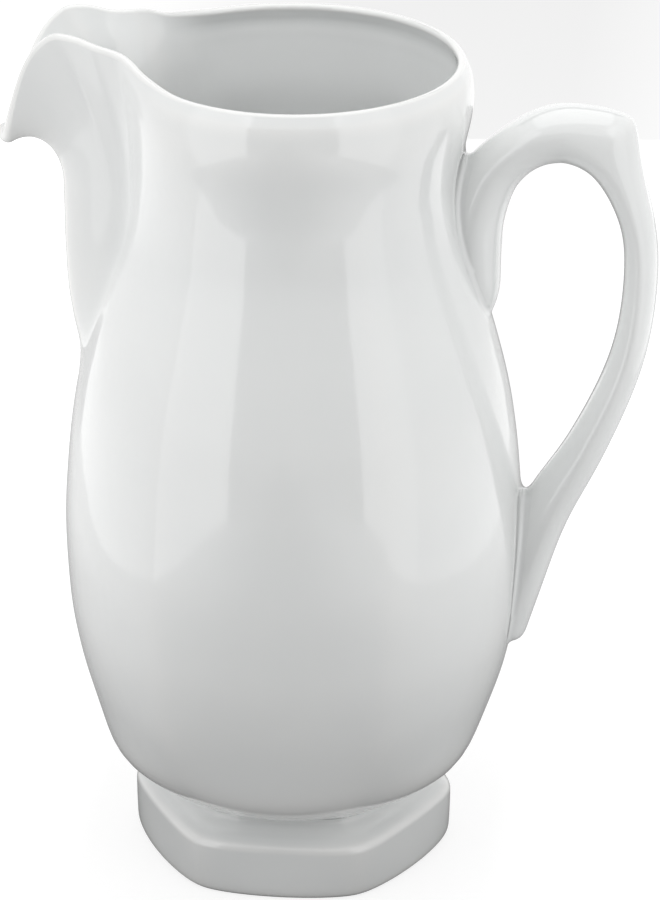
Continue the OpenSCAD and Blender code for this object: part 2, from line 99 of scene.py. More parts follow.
# Half width over which a ridge is rounded off
RIDGE_SOFT = 3.0
FOOT_SOFT = 6.0
KEEL_RISE = [
    (KEEL_FOOT_Z, 0), (KEEL_FOOT_Z + 6, 0.2), (KEEL_FOOT_Z + 14, 0.72), (KEEL_FOOT_Z + 24, 0.95),
    (KEEL_FOOT_Z + 38, 1), (KEEL_FOOT_Z + 58, 1),
]
CHANNEL_HALF_W = [
    (KEEL_FOOT_Z, 5), (KEEL_FOOT_Z + 22, 6.5), (KEEL_FOOT_Z + 48, 7.8), (KEEL_FOOT_Z + 63, 9.5),
]
CHANNEL_SHARPNESS = 1.1
CHANNEL_POWER = 2.4
# The lip takes over from the plain collar between these angles from the middle of the spout
LIP_FULL = 22.0
LIP_GONE = 60.0
# Half angle and height of the thick part of the tip, and half angle of its droop
TIP_SPREAD = 5.0
TIP_DEPTH = 8.0
DROOP_SPREAD = 6.0
RIM_REACH = [
    (-2, TIP_REACH + 0.1), (0, TIP_REACH), (2, TIP_REACH + 0.1), (4, TIP_REACH), (6, TIP_REACH - 1.2),
    (8, TIP_REACH - 3.8), (10, TIP_REACH - 7.2), (12, TIP_REACH - 11.2), (14, RIM_R + 12),
    (17.5, RIM_R + 6.8), (24.5, RIM_R + 2.4), (34, RIM_R + 0.6), (44, RIM_R), (55, RIM_R),
]
RIM_RISE = [
    (-2, TIP_Z + 0.5), (0, TIP_Z), (2, TIP_Z + 0.5), (4, TIP_Z + 3.2), (6, TIP_Z + 10.1), (8, TIP_Z + 20),
    (10, CREST_Z - 3.2), (12, CREST_Z), (14, CREST_Z - 0.2), (17.5, CREST_Z - 1.8), (24.5, EDGE_Z + 4.2),
    (34, EDGE_Z + 2), (44, EDGE_Z + 1), (55, EDGE_Z + 0.3), (80, EDGE_Z),
]
RIM_LEAN = [
    (-4, -15), (0, -38), (4, -15), (6, 22), (8, 45), (11, 60), (17.5, 70), (25, 80), (40, 92), (60, 100),
]
FOOT_PROFILE = [
    (0, FOOT_R - 1), (0.8, FOOT_R - 0.2), (3, FOOT_R + 0.1), (FOOT_Z - 6.5, FOOT_R + 0.3),
    (FOOT_Z - 5, FOOT_R - 0.5), (FOOT_Z - 3.8, FOOT_R - 2.8), (FOOT_Z - 2.4, WAIST_R + 2),
    (FOOT_Z - 1, WAIST_R + 0.4), (FOOT_Z, WAIST_R),
]
FOOT_BREAK = [(0, 22), (FOOT_Z - 5, 34), (FOOT_Z, 24)]
RECESS_BASE_R = 33.5
RECESS_TOP_R = 27.0

# Knots of the handle: place, x, z, half thickness towards the hole and away from it, half width
HANDLE_LINE = np.array([
    (0.00, 41.5, 143.5, 5.7, 4.0, -2.6), (0.03, 42.0, 149.0, 7.3, 5.0, -1.9),
    (0.08, 42.6, 158.0, 7.0, 6.0, -1.3), (0.17, 43.6, 171.0, 7.1, 7.6, -0.8),
    (0.22, 46.6, 179.2, 6.8, 6.5, -0.5), (0.27, 51.2, 185.2, 6.9, 5.3, -0.2),
    (0.37, 63.2, 190.6, 7.6, 5.8, 0.0), (0.46, 74.0, 184.5, 5.6, 5.8, -0.2),
    (0.55, 80.7, 171.0, 4.0, 4.5, -0.5), (0.65, 82.8, 154.5, 3.8, 4.3, -0.7),
    (0.75, 80.2, 133.0, 4.1, 4.3, -0.7), (0.85, 71.2, 109.5, 5.0, 4.9, -0.7),
    (0.93, 62.3, 89.8, 7.5, 4.8, -0.5), (1.00, 56.2, 70.5, 7.0, 5.0, -0.3),
    (1.07, 52.0, 57.5, 6.0, 5.4, -0.9),
]) + np.array([0, 0, 0, 0, 0, HANDLE_HALF_W])
HANDLE_END = 1.07
BLUNT_PLACE = 1.042
BLUNT_END = 1.0735
SPUR_PLACE = 0.445
SPUR_BEFORE = 0.048
SPUR_AFTER = 0.033
SPUR_POWER = 1.4
# How flat the handle's section is across its thickness and across its width: 1 is an ellipse
THICK_POWER = 1.1
WIDTH_POWER = 0.95
# Share by which the depth of a root changes from its wall side to its free side
ROOT_TILT = 0.5


# ---- Curves through knots

def stretch(places, x):
    """Number of the gap between knots that x falls in."""
    return np.clip(np.searchsorted(places, x, side="right") - 1, 0, len(places) - 2)


def hermite(places, values, slopes, x):
    """A cubic through values with given slopes."""
    i = stretch(places, x)
    h = places[i + 1] - places[i]
    t = (x - places[i]) / h
    return (values[i] * (1 + 2 * t) * (1 - t) ** 2 + slopes[i] * h * t * (1 - t) ** 2
            + values[i + 1] * t * t * (3 - 2 * t) + slopes[i + 1] * h * t * t * (t - 1))


def held(knots, x):
    """A curve that never overshoots between knots."""
    places, values = np.array(knots, float).T
    gaps = np.diff(places)
    chords = np.diff(values) / gaps
    slopes = np.empty(len(places))
    slopes[0], slopes[-1] = chords[0], chords[-1]
    a, b, g, h = chords[:-1], chords[1:], gaps[:-1], gaps[1:]
    flat = a * b <= 0
    a, b = np.where(flat, 1, a), np.where(flat, 1, b)
    slopes[1:-1] = np.where(flat, 0, 3 * (g + h) / ((2 * h + g) / a + (h + 2 * g) / b))
    return hermite(places, values, slopes, np.clip(x, places[0], places[-1]))


def free(knots, column, x):
    """A freely bending curve."""
    places, values = knots[:, 0], knots[:, column]
    gaps = np.diff(places)
    chords = np.diff(values) / gaps
    slopes = np.empty(len(places))
    slopes[1:-1] = (chords[:-1] * gaps[1:] + chords[1:] * gaps[:-1]) / (gaps[:-1] + gaps[1:])
    slopes[0] = 2 * chords[0] - slopes[1]
    slopes[-1] = 2 * chords[-1] - slopes[-2]
    return hermite(places, values, slopes, x)


# Weights of a soft average, out to two spreads on each side
SOFT_STEPS = np.linspace(-2, 2, 9)
SOFT_WEIGHTS = np.exp(-SOFT_STEPS ** 2 / 2)
SOFT_WEIGHTS = SOFT_WEIGHTS / SOFT_WEIGHTS.sum()


def softened(function, x, spread, low, high):
    """A curve averaged over a spread that shrinks to nothing at its two ends."""
    x = np.asarray(x, float)
    width = np.minimum(spread, np.clip(np.minimum(x - low, high - x), 0, None) / 2.2)
    return sum(w * function(x + width * s) for s, w in zip(SOFT_STEPS, SOFT_WEIGHTS))


def smooth(low, high, x):
    t = np.clip((x - low) / (high - low), 0, 1)
    return t * t * (3 - 2 * t)


def unit(v):
    return v / np.maximum(np.linalg.norm(v, axis=-1, keepdims=True), 1e-12)


def dot(a, b):
    return np.sum(a * b, axis=-1, keepdims=True)


# ---- The outer surface of the body and the spout

def panel_share(angle, turn, soft):
    """Share of the ridge radius at an angle, where each panel is an arc between two ridges."""
    half = PANEL / 2
    off = np.abs(angle - PANEL * np.round(angle / PANEL))
    rounded = (np.sqrt(off ** 2 + soft ** 2) - soft) * half / (math.hypot(half, soft) - soft)
    span = np.radians(half - turn / 2)
    arc_r = math.sin(math.radians(half)) / np.sin(span)
    centre = math.cos(math.radians(half)) - arc_r * np.cos(span)
    a = np.radians(half - rounded)
    return centre * np.cos(a) + np.sqrt(arc_r ** 2 - (centre * np.sin(a)) ** 2)


def profile_r(z):
    return softened(lambda x: held(BODY_PROFILE, x), z, 2.6, FOOT_Z, EDGE_Z)


def body_r(angle, z):
    turn = softened(lambda x: held(BODY_BREAK, x), z, 3.0, FOOT_Z, EDGE_Z)
    return profile_r(z) * panel_share(angle, turn, RIDGE_SOFT)


def off_spout(angle):
    return np.abs((angle - SPOUT_ANGLE + 180) % 360 - 180)


def channel_r(off, z):
    """How far the spout's keel stands out of the wall."""
    wall_r = body_r(SPOUT_ANGLE, z)
    rise = softened(lambda x: held(KEEL_RISE, x), z, 2.0, KEEL_FOOT_Z, KEEL_FOOT_Z + 58)
    stand = np.maximum(KEEL_R - wall_r, 0) * np.where(z < KEEL_FOOT_Z, 0, rise)
    side = wall_r * np.sin(np.radians(np.minimum(off, 60))) / held(CHANNEL_HALF_W, z)
    return stand * np.exp(-CHANNEL_SHARPNESS * side ** CHANNEL_POWER)


def rim_curve(knots, off):
    return sum(w * held(knots, np.abs(off + 0.45 * s)) for s, w in zip(SOFT_STEPS, SOFT_WEIGHTS))


def outer_rz(angle, z):
    """Radius and height at an angle and a level between the waist and the rim."""
    off = off_spout(angle)
    reach, rise, lean = (rim_curve(k, off) for k in (RIM_REACH, RIM_RISE, RIM_LEAN))
    lean = np.radians(lean)
    t = np.clip((z - LIP_Z) / (EDGE_Z - LIP_Z), 0, 1)
    low_r = body_r(angle, LIP_Z) + channel_r(off, LIP_Z)
    far = np.hypot(reach - low_r, rise - LIP_Z)
    droop = np.exp(-(off / DROOP_SPREAD) ** 2)
    pull = (0.4 + 0.1 * droop) * far
    b0, b1, b2, b3 = (1 - t) ** 3, 3 * (1 - t) ** 2 * t, 3 * (1 - t) * t * t, t ** 3
    lip_r = (b0 + b1) * low_r + b2 * (reach - pull * np.cos(lean)) + b3 * reach
    lip_z = (b0 * LIP_Z + b1 * (LIP_Z + (0.3 + 0.25 * droop) * far)
             + b2 * (rise - pull * np.sin(lean)) + b3 * rise)
    share = 1 - smooth(LIP_FULL, LIP_GONE, off)
    plain_r = body_r(angle, z) + channel_r(off, LIP_Z)
    plain_z = z + (rise - EDGE_Z) * t
    above = z > LIP_Z
    r = np.where(above, share * lip_r + (1 - share) * plain_r, body_r(angle, z) + channel_r(off, z))
    return r, np.where(above, share * lip_z + (1 - share) * plain_z, z + 0 * angle)


def around(r, z, angle):
    a = np.radians(angle)
    return np.stack(np.broadcast_arrays(r * np.cos(a), r * np.sin(a), z), axis=-1)


# ---- The shell's grid: columns of angles, rows of levels, shared by body, spout and spout slip

SLIP_ANGLE = 0.8
FINE_STEP = 0.5
COARSE_COUNT = 210
WINDOW_Z = 120.0
RIM_STEPS = 16
edge_angle = SPOUT_HALF + SLIP_ANGLE
fine_columns = np.arange(-SPOUT_HALF, SPOUT_HALF + FINE_STEP / 2, FINE_STEP)
columns = np.concatenate([
    fine_columns, np.linspace(edge_angle, 360 - edge_angle, COARSE_COUNT)]) + SPOUT_ANGLE
rows = np.concatenate([
    FOOT_Z + np.array([0, 0.4, 0.8, 1.2, 1.7, 2.3, 3, 3.8, 4.7, 5.8, 7.2, 8.8, 10.6, 12.6, 14.8, 17.2]),
    np.arange(FOOT_Z + 20, WINDOW_Z - 1.5, 2.2), [WINDOW_Z - SLIP, WINDOW_Z],
    np.arange(WINDOW_Z + 2, LIP_Z - 0.8, 2), np.linspace(LIP_Z, EDGE_Z, 34)])
C, R = len(columns), len(rows)
window_row = int(np.searchsorted(rows, WINDOW_Z))
spout_last = len(fine_columns) - 1
slip_last = spout_last + 1
LIP_ROW = int(np.searchsorted(rows, LIP_Z - 0.01))


def ease(grid, passes, weight):
    """Evens a grid out along its rows, most where the weight is 1."""
    for _ in range(passes):
        grid[1:-1] += weight[1:-1, None, None] * (grid[:-2] + grid[2:] - 2 * grid[1:-1]) / 4
    return grid


def across(grid):
    return np.roll(grid, -1, axis=1) - np.roll(grid, 1, axis=1)


def along(grid):
    step = np.empty_like(grid)
    step[1:-1] = grid[2:] - grid[:-2]
    step[0], step[-1] = grid[1] - grid[0], grid[-1] - grid[-2]
    return step


def normals_of(grid):
    return unit(np.cross(across(grid), along(grid)))


radius, height = outer_rz(columns[None, :], rows[:, None])
outer = around(radius, height, columns[None, :])
near_lip = np.exp(-((np.arange(R) - LIP_ROW) / 3.0) ** 2)
outer = ease(outer, 10, near_lip)
outer_n = normals_of(outer)
off = off_spout(columns)[None, :, None]
plain = softened(lambda x: held(WALL_PROFILE, x), rows, 3.0, EDGE_Z - 26, EDGE_Z)[:, None, None]
tip_share = np.exp(-(off / TIP_SPREAD) ** 2) * smooth(EDGE_Z - TIP_DEPTH, EDGE_Z, rows)[:, None, None]
wall = plain + (TIP_THICK - plain) * tip_share
press = outer_n.copy()
for _ in range(6):
    press = press + (np.roll(press, 1, axis=1) + np.roll(press, -1, axis=1) - 2 * press) / 4
    press[1:-1] += (press[:-2] + press[2:] - 2 * press[1:-1]) / 4
press = unit(press)
inner = outer - wall * press
inner_n = -normals_of(inner)

edge_up = unit(along(outer)[-1])
edge_mid = (outer[-1] + inner[-1]) / 2
arc = np.radians(180 * np.arange(1, RIM_STEPS) / RIM_STEPS)[:, None, None]
rim = edge_mid + wall[-1] / 2 * (np.cos(arc) * press[-1] + np.sin(arc) * edge_up)
round_rim = np.concatenate([outer[-2:], rim, inner[-1:], inner[-2:-1]])
rim_n = normals_of(round_rim)[2:-2]
outer_n[-1] = unit(outer_n[-1] + unit(np.cross(across(round_rim)[1], round_rim[2] - round_rim[0])))
inner_n[-1] = unit(inner_n[-1] + unit(np.cross(across(round_rim)[-2], round_rim[-1] - round_rim[-3])))


def curvature(grid, normals):
    """How far each point stands out of its neighbours, over their spacing: ridges above zero."""
    mid = (np.roll(grid, 3, axis=1) + np.roll(grid, -3, axis=1)) / 2
    span = np.linalg.norm(np.roll(grid, 3, axis=1) - np.roll(grid, -3, axis=1), axis=-1)
    side = np.sum((grid - mid) * normals, axis=-1) / np.maximum(span, 0.5)
    length = np.zeros(grid.shape[:2])
    length[2:-2] = np.sum((grid[2:-2] - (grid[4:] + grid[:-4]) / 2) * normals[2:-2], axis=-1)
    length[2:-2] /= np.maximum(np.linalg.norm(grid[4:] - grid[:-4], axis=-1), 0.5)
    return side + length


shell_points = np.concatenate([
    outer.reshape(-1, 3), rim.reshape(-1, 3), inner.reshape(-1, 3),
    [[0, 0, FOOT_Z], [0, 0, FOOT_Z + FLOOR_RISE]]])
shell_normals = np.concatenate([
    outer_n.reshape(-1, 3), rim_n.reshape(-1, 3), inner_n.reshape(-1, 3), [[0, 0, -1], [0, 0, 1]]])
# Curvature per point: hollows darken the glaze, as glaze pooling and painted shade; ridges and the rim
# lighten it where the glaze thins
shell_pool_and_shade = np.concatenate([
    curvature(outer, outer_n).ravel(), np.full(rim.shape[0] * C, 0.14), curvature(inner, inner_n).ravel(),
    [0, 0]])
INNER_START = R + RIM_STEPS - 1
UNDER_CENTRE = len(shell_points) - 2
FLOOR_CENTRE = len(shell_points) - 1


def outer_at(j, i):
    return j * C + i % C


def inner_at(j, i):
    return (INNER_START + j) * C + i % C


def rim_at(k, i):
    row = np.where(k == 0, R - 1, np.where(k == RIM_STEPS, INNER_START + R - 1, R + k - 1))
    return row * C + i % C


def quads(at, low, high, first, last, flip=False):
    j, i = np.meshgrid(np.arange(low, high), np.arange(first, last), indexing="ij")
    corners = [at(j, i), at(j, i + 1), at(j + 1, i + 1), at(j + 1, i)]
    faces = np.stack(corners[::-1] if flip else corners, axis=-1)
    return faces.reshape(-1, 4)


def skin(low, high, first, last):
    return [quads(outer_at, low, high, first, last), quads(inner_at, low, high, first, last, True)]


def side(low, high, column, with_rim, flip):
    """Closes a patch at a column: the wall's rows, and the rim's arc as one face."""
    j = np.arange(low, high)
    walls = np.stack([outer_at(j, column), outer_at(j + 1, column),
                      inner_at(j + 1, column), inner_at(j, column)], axis=-1)
    caps = []
    if with_rim:
        caps = [[int(rim_at(np.array(k), column)) for k in range(RIM_STEPS + 1)]]
    if flip:
        return walls[:, ::-1], [c[::-1] for c in caps]
    return walls, caps


def level(row, first, last, flip):
    i = np.arange(first, last)
    faces = np.stack([outer_at(row, i), inner_at(row, i),
                      inner_at(row, i + 1), outer_at(row, i + 1)], axis=-1)
    return faces[:, ::-1] if flip else faces


# ---- Meshes

pieces = []


def piece(name, node, points, normals, smooth_faces, flat_faces, materials, pool_and_shade=None, second=None):
    """A watertight piece over a CAD node. Smooth faces take the normals given, flat faces their own.
    The faces listed in second take the second material."""
    faces = [f for part in smooth_faces for f in np.asarray(part).tolist()]
    smooth_count = len(faces)
    for part in flat_faces:
        faces += part.tolist() if isinstance(part, np.ndarray) else part
    used = np.unique(np.concatenate([np.array(f) for f in faces]))
    index = np.full(len(points), -1)
    index[used] = np.arange(len(used))
    faces = [index[np.array(f)].tolist() for f in faces]
    place = np.clip(points[used] * MM, *CAD_BOX)
    mesh = bpy.data.meshes.new(name)
    mesh.from_pydata(place.tolist(), [], faces)
    for m in materials:
        mesh.materials.append(m)
    mesh.polygons.foreach_set("use_smooth", [True] * len(mesh.polygons))
    kept = normals[used]
    corners = np.empty(len(mesh.loops), int)
    mesh.loops.foreach_get("vertex_index", corners)
    sizes = np.array([len(f) for f in faces])
    owner = np.repeat(np.arange(len(faces)), sizes)
    face_normals = np.empty(len(faces) * 3)
    mesh.polygons.foreach_get("normal", face_normals)
    own = face_normals.reshape(-1, 3)[owner]
    loop_normals = np.where((owner < smooth_count)[:, None], kept[corners], own)
    if second is not None:
        ids = np.zeros(len(faces), int)
        ids[second(len(faces), smooth_count)] = 1
        mesh.polygons.foreach_set("material_index", ids)
    # The pool value darkens the glaze in hollows and creases, as glaze pooling and painted shade, and
    # lightens it on ridges where the glaze thins
    if pool_and_shade is not None:
        attribute = mesh.attributes.new("glaze_pool_and_shade", "FLOAT", "POINT")
        attribute.data.foreach_set("value", pool_and_shade[used].astype(np.float32))
    mesh.normals_split_custom_set(loop_normals.tolist())
    mesh.update()
    thing = bpy.data.objects.new(name, mesh)
    bpy.context.scene.collection.objects.link(thing)
    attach(thing, "root")
    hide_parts(node)
    pieces.append(thing)
    return thing


# ---- Materials

class Nodes:
    """A short way to lay out one material's nodes."""

    def __init__(self, name):
        self.material = bpy.data.materials.new(name)
        self.material.use_nodes = True
        self.tree = self.material.node_tree
        self.tree.nodes.clear()

    def add(self, kind, **values):
        node = self.tree.nodes.new(kind)
        for key, value in values.items():
            setattr(node, key, value)
        return node

    def wire(self, a, b):
        self.tree.links.new(a, b)

    def noise(self, place, scale, detail, roughness=0.5):
        node = self.add("ShaderNodeTexNoise")
        node.inputs["Scale"].default_value = scale
        node.inputs["Detail"].default_value = detail
        node.inputs["Roughness"].default_value = roughness
        self.wire(place, node.inputs["Vector"])
        return node.outputs["Fac"]

    def ramp(self, source, stops):
        node = self.add("ShaderNodeValToRGB")
        while len(node.color_ramp.elements) < len(stops):
            node.color_ramp.elements.new(0.5)
        for element, (place, colour) in zip(node.color_ramp.elements, stops):
            element.position = place
            element.color = (*colour, 1)
        self.wire(source, node.inputs["Fac"])
        return node.outputs["Color"]

    def spread(self, source, low, high, to_low, to_high):
        node = self.add("ShaderNodeMapRange")
        for key, value in zip(("From Min", "From Max", "To Min", "To Max"), (low, high, to_low, to_high)):
            node.inputs[key].default_value = value
        self.wire(source, node.inputs["Value"])
        return node.outputs["Result"]

    def mixed(self, kind, share, a, b):
        node = self.add("ShaderNodeMix", data_type="RGBA", blend_type=kind)
        if isinstance(share, float):
            node.inputs["Factor"].default_value = share
        else:
            self.wire(share, node.inputs["Factor"])
        for source, key in ((a, 6), (b, 7)):
            if isinstance(source, tuple):
                node.inputs[key].default_value = (*source, 1)
            else:
                self.wire(source, node.inputs[key])
        return node.outputs[2]

    def bump(self, height, distance, strength, before=None):
        node = self.add("ShaderNodeBump")
        node.inputs["Strength"].default_value = strength
        node.inputs["Distance"].default_value = distance
        self.wire(height, node.inputs["Height"])
        if before is not None:
            self.wire(before, node.inputs["Normal"])
        return node.outputs["Normal"]


# The glaze's plain colour; its darker colour in hollows and creases, which is glaze pooling and painted
# shade; and its colour where it thins over an edge
GLAZE = (0.825, 0.836, 0.83)
POOLED_AND_SHADED = (0.74, 0.755, 0.75)
THIN = (0.87, 0.865, 0.85)


def glaze_material(name, tone):
    n = Nodes(name)
    place = n.add("ShaderNodeTexCoord").outputs["Object"]
    pool_and_shade = n.add("ShaderNodeAttribute", attribute_name="glaze_pool_and_shade").outputs["Fac"]
    # Greyer and darker in hollows and creases: glaze pooling and painted shade
    pooled_and_shaded = n.spread(pool_and_shade, -0.012, -0.06, 0.0, 0.5)
    thin = n.spread(pool_and_shade, 0.012, 0.09, 0.0, 0.6)
    colour = n.mixed("MIX", pooled_and_shaded, tuple(c * tone for c in GLAZE), POOLED_AND_SHADED)
    colour = n.mixed("MIX", thin, colour, THIN)
    cloud = n.ramp(n.noise(place, 28.0, 3.0), [(0.3, (0.965, 0.97, 0.975)), (0.7, (1.0, 1.0, 1.0))])
    colour = n.mixed("MULTIPLY", 0.8, colour, cloud)
    speck = n.add("ShaderNodeTexVoronoi", feature="F1", distance="EUCLIDEAN")
    speck.inputs["Scale"].default_value = 55.0
    n.wire(place, speck.inputs["Vector"])
    spot = n.spread(speck.outputs["Distance"], 0.016, 0.026, 1.0, 0.0)
    rare = n.add("ShaderNodeSeparateColor")
    n.wire(speck.outputs["Color"], rare.inputs["Color"])
    few = n.spread(rare.outputs["Red"], 0.9, 0.91, 0.0, 0.55)
    both = n.add("ShaderNodeMath", operation="MULTIPLY")
    n.wire(spot, both.inputs[0])
    n.wire(few, both.inputs[1])
    colour = n.mixed("MIX", both.outputs[0], colour, (0.35, 0.31, 0.27))
    rough = n.spread(n.noise(place, 46.0, 2.0), 0.3, 0.7, 0.11, 0.15)
    wave = n.bump(n.noise(place, 62.0, 1.5), 0.00022, 0.5)
    peel = n.bump(n.noise(place, 520.0, 2.0), 0.00002, 0.35, wave)
    shader = n.add("ShaderNodeBsdfPrincipled")
    shader.inputs["IOR"].default_value = 1.55
    shader.inputs["Coat Weight"].default_value = 1.0
    shader.inputs["Coat IOR"].default_value = 1.5
    shader.inputs["Coat Roughness"].default_value = 0.06
    n.wire(colour, shader.inputs["Base Color"])
    n.wire(rough, shader.inputs["Roughness"])
    n.wire(peel, shader.inputs["Normal"])
    n.wire(wave, shader.inputs["Coat Normal"])
    out = n.add("ShaderNodeOutputMaterial")
    n.wire(shader.outputs["BSDF"], out.inputs["Surface"])
    return n.material


def bare_material():
    """The standing rim, wiped clean of glaze: fine matte fired clay, scuffed by use."""
    n = Nodes("bare_rim")
    place = n.add("ShaderNodeTexCoord").outputs["Object"]
    grain = n.noise(place, 900.0, 4.0, 0.65)
    clay = n.ramp(grain, [(0.3, (0.66, 0.63, 0.58)), (0.7, (0.78, 0.755, 0.7))])
    scuff = n.spread(n.noise(place, 70.0, 5.0, 0.7), 0.58, 0.72, 0.0, 0.45)
    clay = n.mixed("MIX", scuff, clay, (0.5, 0.475, 0.44))
    shader = n.add("ShaderNodeBsdfPrincipled")
    shader.inputs["IOR"].default_value = 1.45
    n.wire(clay, shader.inputs["Base Color"])
    n.wire(n.spread(grain, 0.3, 0.7, 0.72, 0.92), shader.inputs["Roughness"])
    n.wire(n.bump(grain, 0.00006, 0.6), shader.inputs["Normal"])
    out = n.add("ShaderNodeOutputMaterial")
    n.wire(shader.outputs["BSDF"], out.inputs["Surface"])
    return n.material


glaze = glaze_material("white_glaze", 1.0)
# A slightly darker glaze for the slips at the handle's roots: painted shade where the handle meets the
# wall
slip_glaze_painted_shade = glaze_material("glazed_slip", 0.985)
bare = bare_material()

# ---- Body, spout and the slip between them

low = window_row - 1
i = np.arange(C)
under = np.stack([outer_at(0, i + 1), outer_at(0, i), np.full(C, UNDER_CENTRE)], axis=-1)
floor_faces = np.stack([inner_at(0, i), inner_at(0, i + 1), np.full(C, FLOOR_CENTRE)], axis=-1)
first_column = slip_last
last_column = C - 1
walls_a, caps_a = side(low, R - 1, first_column, True, False)
walls_b, caps_b = side(low, R - 1, last_column, True, True)
piece("glazed_body", "body", shell_points, shell_normals,
      skin(0, low, 0, C) + skin(low, R - 1, first_column, last_column)
      + [quads(rim_at, 0, RIM_STEPS, first_column, last_column), floor_faces],
      [walls_a, caps_a, walls_b, caps_b, level(low, last_column, C + slip_last, True), under],
      [glaze], shell_pool_and_shade)

walls_a, caps_a = side(window_row, R - 1, 0, True, False)
walls_b, caps_b = side(window_row, R - 1, spout_last, True, True)
piece("glazed_spout", "spout", shell_points, shell_normals,
      skin(window_row, R - 1, 0, spout_last) + [quads(rim_at, 0, RIM_STEPS, 0, spout_last)],
      [walls_a, caps_a, walls_b, caps_b, level(window_row, 0, spout_last, False)],
      [glaze], shell_pool_and_shade)

parts = [side(window_row, R - 1, spout_last, True, False), side(low, R - 1, slip_last, True, True),
         side(low, R - 1, last_column, True, False), side(window_row, R - 1, C, True, True)]
piece("spout_luting_slip", "spout_slip", shell_points, shell_normals,
      skin(low, window_row, last_column, C + slip_last) + skin(window_row, R - 1, spout_last, slip_last)
      + skin(window_row, R - 1, last_column, C)
      + [quads(rim_at, 0, RIM_STEPS, spout_last, slip_last), quads(rim_at, 0, RIM_STEPS, last_column, C)],
      [faces for pair in parts for faces in pair]
      + [level(low, last_column, C + slip_last, False), level(window_row, 0, spout_last, True)],
      [glaze], shell_pool_and_shade)

# ---- Foot ring and the slip that lutes it on

FOOT_COLUMNS = 360
foot_levels = np.concatenate([
    [0, 0.15, 0.35, 0.6, 0.9, 1.3, 2, 3], np.arange(4.5, 11.5, 1.5),
    np.linspace(12, FOOT_Z - SLIP, 20)])


def ring(levels):
    angle = np.arange(FOOT_COLUMNS) * 360.0 / FOOT_COLUMNS
    z = levels[:, None]
    r = softened(lambda x: held(FOOT_PROFILE, x), z, 0.5, 0, FOOT_Z)
    outside = around(r * panel_share(angle[None, :], held(FOOT_BREAK, z), FOOT_SOFT), z, angle[None, :])
    inside = around(RECESS_BASE_R + (RECESS_TOP_R - RECESS_BASE_R) * z / FOOT_Z, z, angle[None, :])
    n, m = FOOT_COLUMNS, len(levels)

    def out_at(j, i):
        return j * n + i % n

    def in_at(j, i):
        return (m + j) * n + i % n

    i = np.arange(n)
    base = np.stack([out_at(0, i), in_at(0, i), in_at(0, i + 1), out_at(0, i + 1)], axis=-1)
    top = np.stack([out_at(m - 1, i), out_at(m - 1, i + 1), in_at(m - 1, i + 1), in_at(m - 1, i)], axis=-1)
    out_n = normals_of(outside)
    points = np.concatenate([outside.reshape(-1, 3), inside.reshape(-1, 3)])
    normals = np.concatenate([out_n.reshape(-1, 3), -normals_of(inside).reshape(-1, 3)])
    # Curvature of the foot's outside: hollows get darker glaze, as glaze pooling and painted shade
    outside_pool_and_shade = curvature(outside, out_n).ravel() if m > 4 else np.zeros(n * m)
    pool_and_shade = np.concatenate([outside_pool_and_shade, np.zeros(n * m)])
    skins = [quads(out_at, 0, m - 1, 0, n), quads(in_at, 0, m - 1, 0, n, True)]
    return points, normals, skins, [top, base], pool_and_shade


points, normals, skins, ends, pool_and_shade = ring(foot_levels)
piece("glazed_foot_ring", "foot_ring", points, normals, skins, ends, [glaze, bare], pool_and_shade,
      lambda count, smooth_count: np.arange(count - FOOT_COLUMNS, count))
points, normals, skins, ends, pool_and_shade = ring(np.array([FOOT_Z - SLIP, FOOT_Z - SLIP / 2, FOOT_Z]))
piece("foot_luting_slip", "foot_slip", points, normals, skins, ends, [glaze], pool_and_shade)

# ---- Handle

HANDLE_SIDES = 96
HANDLE_RINGS = 300


def line_part(column, s):
    return softened(lambda x: free(HANDLE_LINE, column, x), s, 0.012, 0, HANDLE_END)


def line_at(s):
    return np.stack([line_part(1, s), np.zeros_like(s), line_part(2, s)], axis=-1)


def power(x, p):
    return np.sign(x) * np.abs(x) ** p


def raw_handle(s, turn):
    """Points of the handle, by place and turn, before its ends are fitted to the wall."""
    s = np.asarray(s, float)
    turn = np.radians(turn)
    way = unit(line_at(np.minimum(s + 0.002, HANDLE_END)) - line_at(np.maximum(s - 0.002, 0)))
    out = np.stack([-way[..., 2], np.zeros_like(s), way[..., 0]], axis=-1)
    spread = np.where(s < SPUR_PLACE, SPUR_BEFORE, SPUR_AFTER)
    spur = SPUR_RISE * np.exp(-np.abs((s - SPUR_PLACE) / spread) ** SPUR_POWER)
    blunt = np.sqrt(1 - (np.maximum(s - BLUNT_PLACE, 0) / (BLUNT_END - BLUNT_PLACE)) ** 3)
    thick = np.where(np.cos(turn) > 0, blunt * line_part(4, s) + spur, line_part(3, s))
    half_w = blunt * line_part(5, s)
    point = line_at(s) + out * (thick * power(np.cos(turn), THICK_POWER))[..., None]
    point[..., 1] += half_w * power(np.sin(turn), WIDTH_POWER)
    return point


def angle_of(p):
    return np.degrees(np.arctan2(p[..., 1], p[..., 0]))


def over_wall(p):
    return np.hypot(p[..., 0], p[..., 1]) - body_r(angle_of(p), p[..., 2])


def on_wall(p, depth):
    a = angle_of(p)
    return around(body_r(a, p[..., 2]) - depth, p[..., 2], a)


def wall_normal(p):
    a, z = angle_of(p), p[..., 2]
    return unit(np.cross(around(body_r(a + 0.5, z), z, a + 0.5) - around(body_r(a - 0.5, z), z, a - 0.5),
                         around(body_r(a, z + 0.5), z + 0.5, a) - around(body_r(a, z - 0.5), z - 0.5, a)))


s, turn = np.meshgrid(np.linspace(0, HANDLE_END, HANDLE_RINGS),
                      np.arange(HANDLE_SIDES) * 360.0 / HANDLE_SIDES, indexing="ij")
raw = raw_handle(s, turn)
handle_n = -normals_of(raw)
depth = ROOT_DEPTH * (1 + ROOT_TILT * np.where(s < SPUR_PLACE, 1, -1) * np.cos(np.radians(turn)))
grid = np.where((over_wall(raw) < -depth)[..., None], on_wall(raw, depth), raw)
n = HANDLE_SIDES
m = HANDLE_RINGS


def ring_at(j, i):
    return j * n + i % n


